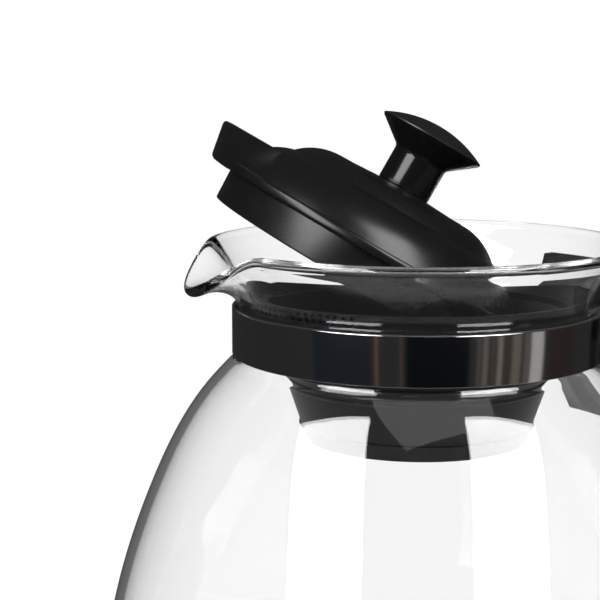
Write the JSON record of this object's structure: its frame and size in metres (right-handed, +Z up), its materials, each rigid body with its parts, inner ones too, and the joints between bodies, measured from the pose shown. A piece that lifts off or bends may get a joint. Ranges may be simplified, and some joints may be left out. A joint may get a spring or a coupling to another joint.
{
  "type": "glass teapot",
  "caption": "Clear glass teapot with a pulled pouring lip, polished steel neck band, black clamped handle, lift-out strainer insert and a loose black lid leaning in its mouth.",
  "frame": {"origin": "centre of the pot's flat base, on the surface it stands on", "axes": "+Z up along the pot's axis; the pouring lip points along -X and the handle along +X"},
  "size_m": [0.1965, 0.154, 0.1753],
  "materials": {
    "clear_glass": "clear",
    "polished_steel": "polished",
    "plain_steel": "satin",
    "black_rubber": "matte",
    "satin_black": "satin",
    "gloss_black": "gloss"
  },
  "bodies": {
    "pot": {"glass_pot": "clear_glass", "neck_band": "polished_steel", "band_liner": "black_rubber", "clamp_screw": "plain_steel", "clamp_nut": "plain_steel", "handle": "satin_black", "handle_cap": "satin_black"},
    "insert": {"insert_collar": "satin_black", "neck_seal": "black_rubber", "insert_sleeve": "satin_black", "foot_ring": "satin_black", "floor_sieve": "plain_steel"},
    "lid": {"lid_shell": "gloss_black", "lid_plug": "gloss_black", "knob_stem": "gloss_black", "knob_cap": "satin_black", "knob_screw": "plain_steel"}
  },
  "joints": [
    {"name": "insert_lift", "type": "slide", "parent": "pot", "child": "insert", "axis": [0, 0, 1], "range_m": [0, 0.06]},
    {"name": "lid_lift", "type": "slide", "parent": "insert", "child": "lid", "axis": [0, 0, 1], "range_m": [0, 0.06]}
  ]
}
